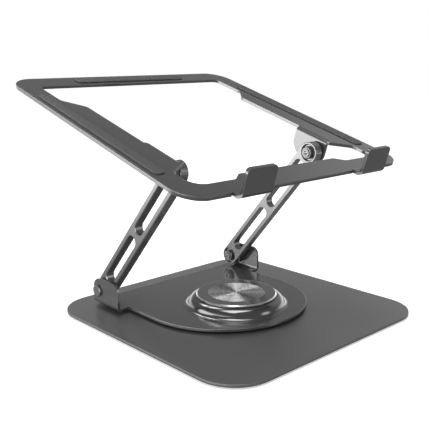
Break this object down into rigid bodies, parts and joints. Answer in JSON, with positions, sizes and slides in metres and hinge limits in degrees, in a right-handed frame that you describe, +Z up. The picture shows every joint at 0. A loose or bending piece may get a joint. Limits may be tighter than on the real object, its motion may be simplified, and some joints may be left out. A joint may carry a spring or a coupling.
{
  "type": "laptop stand",
  "caption": "Folding laptop stand: square base, turntable plate with capped dome, slotted friction arms and an open tray with front hooks and grip strips.",
  "frame": {"origin": "middle of the surface the stand rests on, on the turntable axis, at the underside of the centre pad", "axes": "+Z up; -Y towards the user, where the hooks are; +X to the user's right; rest pose as in use, with the turntable square to the base"},
  "size_m": [0.2568, 0.2831, 0.209],
  "materials": {
    "grey_sheet": "satin dark grey",
    "arm_metal": "dark anodised, milled",
    "cap_metal": "dark satin with a bright-cut chamfer",
    "spun_disc": "radially brushed",
    "silicone": "matte",
    "foot_rubber": "matte",
    "bearing_steel": "polished",
    "plated_steel": "zinc plated",
    "dark_steel": "dark nickel",
    "spring_steel": "blackened",
    "cage_plastic": "natural nylon"
  },
  "bodies": {
    "base": {"base_plate": "grey_sheet", "base_feet": "foot_rubber", "centre_pad": "foot_rubber", "lower_race": "bearing_steel", "lower_race_screws": "plated_steel", "centre_post": "bearing_steel", "thrust_washer": "plated_steel", "wave_spring": "plated_steel", "centre_nut": "plated_steel"},
    "bearing_cage": {"ball_cage": "cage_plastic", "bearing_balls": "bearing_steel"},
    "turntable": {"swivel_plate": "grey_sheet", "upper_race": "bearing_steel", "upper_race_screws": "plated_steel", "dome_cap": "cap_metal", "cap_disc": "spun_disc", "left_lower_bolt": "dark_steel", "left_lower_friction_washer": "spring_steel", "left_lower_disc_springs": "spring_steel", "left_lower_nut": "dark_steel", "right_lower_bolt": "dark_steel", "right_lower_friction_washer": "spring_steel", "right_lower_disc_springs": "spring_steel", "right_lower_nut": "dark_steel"},
    "left_arm": {"left_arm": "arm_metal"},
    "right_arm": {"right_arm": "arm_metal"},
    "upper_pivots": {"left_upper_bolt": "dark_steel", "left_upper_friction_washer": "spring_steel", "left_upper_disc_springs": "spring_steel", "left_upper_nut": "dark_steel", "right_upper_bolt": "dark_steel", "right_upper_friction_washer": "spring_steel", "right_upper_disc_springs": "spring_steel", "right_upper_nut": "dark_steel"},
    "tray": {"tray_frame": "grey_sheet", "left_pad": "silicone", "right_pad": "silicone", "back_pad": "silicone", "left_hook_pad": "silicone", "right_hook_pad": "silicone"}
  },
  "joints": [
    {"name": "swivel", "type": "hinge", "parent": "base", "child": "turntable", "pos_m": [0, 0, 0], "axis": [0, 0, 1], "continuous": true},
    {"name": "cage_roll", "type": "hinge", "parent": "base", "child": "bearing_cage", "pos_m": [0, 0, 0], "axis": [0, 0, 1], "continuous": true},
    {"name": "lift", "type": "hinge", "parent": "turntable", "child": "left_arm", "pos_m": [0, 0.089, 0.01935], "axis": [-1, 0, 0], "range_deg": [-48.8, 26.2]},
    {"name": "right_lift", "type": "hinge", "parent": "turntable", "child": "right_arm", "pos_m": [0, 0.089, 0.01935], "axis": [-1, 0, 0], "range_deg": [-48.8, 26.2]},
    {"name": "upper_swing", "type": "hinge", "parent": "left_arm", "child": "upper_pivots", "pos_m": [0, -0.01679, 0.14019], "axis": [-1, 0, 0], "range_deg": [-26.2, 48.8]},
    {"name": "tilt", "type": "hinge", "parent": "upper_pivots", "child": "tray", "pos_m": [0, -0.01679, 0.14019], "axis": [1, 0, 0], "range_deg": [-16.8, 3.2]}
  ],
  "couplings": [
    {"joint": "cage_roll", "follows": "swivel", "ratio": 0.5},
    {"joint": "right_lift", "follows": "lift", "ratio": 1},
    {"joint": "upper_swing", "follows": "lift", "ratio": -1}
  ]
}
